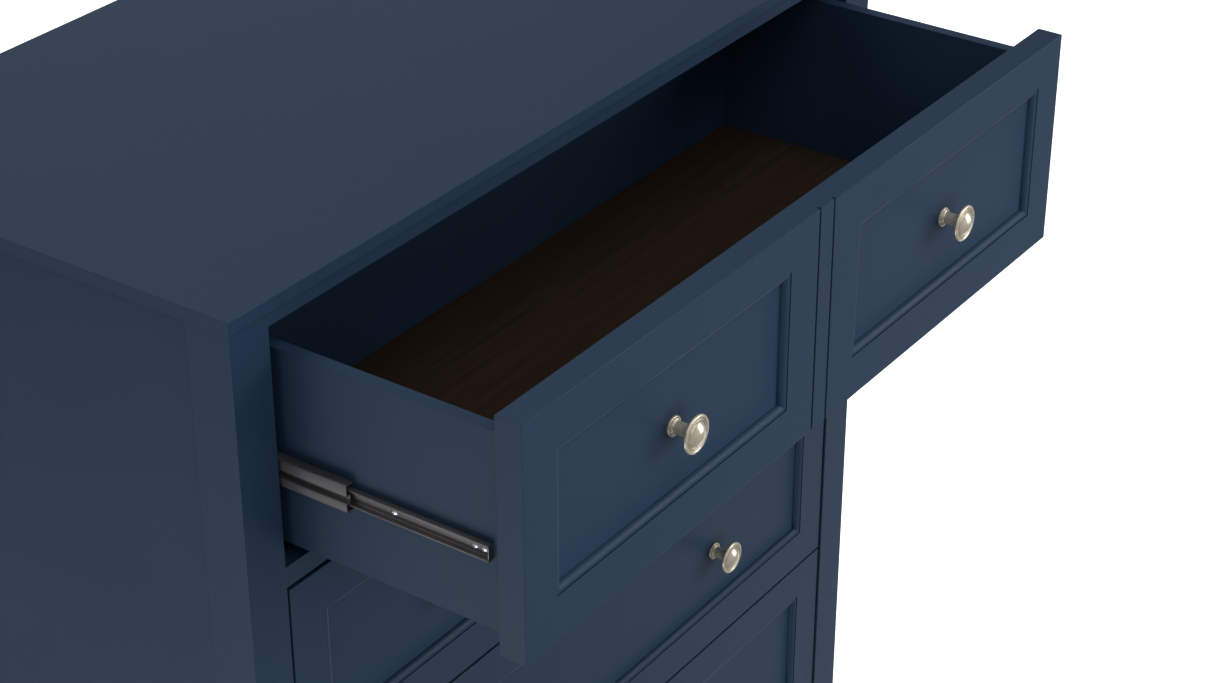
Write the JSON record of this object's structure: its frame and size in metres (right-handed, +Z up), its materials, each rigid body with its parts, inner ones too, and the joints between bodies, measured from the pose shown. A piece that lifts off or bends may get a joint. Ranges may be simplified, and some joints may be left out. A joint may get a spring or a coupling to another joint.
{
  "type": "bathroom vanity cabinet",
  "caption": "Floor-standing painted vanity cabinet with inset recessed-panel drawers on full-extension side slides, the top drawer standing open behind a double false front.",
  "frame": {"origin": "on the floor, below the middle of the top panel", "axes": "+Z up, -Y towards the drawer fronts, +X to the right of a person facing the front"},
  "size_m": [0.968, 0.7697, 1.067],
  "materials": {
    "navy_paint": "satin navy paint over wood and board",
    "brown_board": "dull brown-faced board",
    "bare_wood": "bare softwood",
    "brushed_nickel": "warm brushed nickel, satin",
    "slide_steel": "dark plated steel, satin",
    "zinc_screws": "bright zinc",
    "glide_plastic": "matt black"
  },
  "bodies": {
    "cabinet": {"top_panel": "navy_paint", "post_front_left": "navy_paint", "post_front_right": "navy_paint", "post_rear_left": "navy_paint", "post_rear_right": "navy_paint", "side_panel_left": "navy_paint", "side_panel_right": "navy_paint", "back_panel": "navy_paint", "bottom_panel": "navy_paint", "top_rail": "navy_paint", "middle_rail": "navy_paint", "bottom_rail": "navy_paint", "rear_rail": "navy_paint", "leg_glides": "glide_plastic", "slide_cleats": "bare_wood", "slide_cabinet_members": "slide_steel"},
    "drawer_1": {"drawer_1_front_slab": "navy_paint", "drawer_1_front_frame": "navy_paint", "drawer_1_moulding": "navy_paint", "drawer_1_side_left": "navy_paint", "drawer_1_side_right": "navy_paint", "drawer_1_box_ends": "navy_paint", "drawer_1_bottom": "brown_board", "drawer_1_knobs": "brushed_nickel", "drawer_1_slide_members": "slide_steel", "drawer_1_screws": "zinc_screws"},
    "slide_1": {"slide_1_middle_members": "slide_steel"},
    "drawer_2": {"drawer_2_front_slab": "navy_paint", "drawer_2_front_frame": "navy_paint", "drawer_2_moulding": "navy_paint", "drawer_2_side_left": "navy_paint", "drawer_2_side_right": "navy_paint", "drawer_2_box_ends": "navy_paint", "drawer_2_bottom": "brown_board", "drawer_2_knobs": "brushed_nickel", "drawer_2_slide_members": "slide_steel", "drawer_2_screws": "zinc_screws"},
    "slide_2": {"slide_2_middle_members": "slide_steel"},
    "drawer_3": {"drawer_3_front_slab": "navy_paint", "drawer_3_front_frame": "navy_paint", "drawer_3_moulding": "navy_paint", "drawer_3_side_left": "navy_paint", "drawer_3_side_right": "navy_paint", "drawer_3_box_ends": "navy_paint", "drawer_3_bottom": "brown_board", "drawer_3_knobs": "brushed_nickel", "drawer_3_slide_members": "slide_steel", "drawer_3_screws": "zinc_screws"},
    "slide_3": {"slide_3_middle_members": "slide_steel"},
    "drawer_4": {"drawer_4_front_slab": "navy_paint", "drawer_4_front_frame": "navy_paint", "drawer_4_moulding": "navy_paint", "drawer_4_side_left": "navy_paint", "drawer_4_side_right": "navy_paint", "drawer_4_box_ends": "navy_paint", "drawer_4_bottom": "brown_board", "drawer_4_knobs": "brushed_nickel", "drawer_4_slide_members": "slide_steel", "drawer_4_screws": "zinc_screws"},
    "slide_4": {"slide_4_middle_members": "slide_steel"}
  },
  "joints": [
    {"name": "drawer_1_slide", "type": "slide", "parent": "cabinet", "child": "drawer_1", "axis": [0, -1, 0], "range_m": [-0.2414, 0.0886]},
    {"name": "slide_1_travel", "type": "slide", "parent": "cabinet", "child": "slide_1", "axis": [0, -1, 0], "range_m": [-0.1207, 0.0443]},
    {"name": "drawer_2_slide", "type": "slide", "parent": "cabinet", "child": "drawer_2", "axis": [0, -1, 0], "range_m": [0, 0.33]},
    {"name": "slide_2_travel", "type": "slide", "parent": "cabinet", "child": "slide_2", "axis": [0, -1, 0], "range_m": [0, 0.165]},
    {"name": "drawer_3_slide", "type": "slide", "parent": "cabinet", "child": "drawer_3", "axis": [0, -1, 0], "range_m": [0, 0.33]},
    {"name": "slide_3_travel", "type": "slide", "parent": "cabinet", "child": "slide_3", "axis": [0, -1, 0], "range_m": [0, 0.165]},
    {"name": "drawer_4_slide", "type": "slide", "parent": "cabinet", "child": "drawer_4", "axis": [0, -1, 0], "range_m": [0, 0.33]},
    {"name": "slide_4_travel", "type": "slide", "parent": "cabinet", "child": "slide_4", "axis": [0, -1, 0], "range_m": [0, 0.165]}
  ],
  "couplings": [
    {"joint": "slide_1_travel", "follows": "drawer_1_slide", "ratio": 0.5},
    {"joint": "slide_2_travel", "follows": "drawer_2_slide", "ratio": 0.5},
    {"joint": "slide_3_travel", "follows": "drawer_3_slide", "ratio": 0.5},
    {"joint": "slide_4_travel", "follows": "drawer_4_slide", "ratio": 0.5}
  ]
}
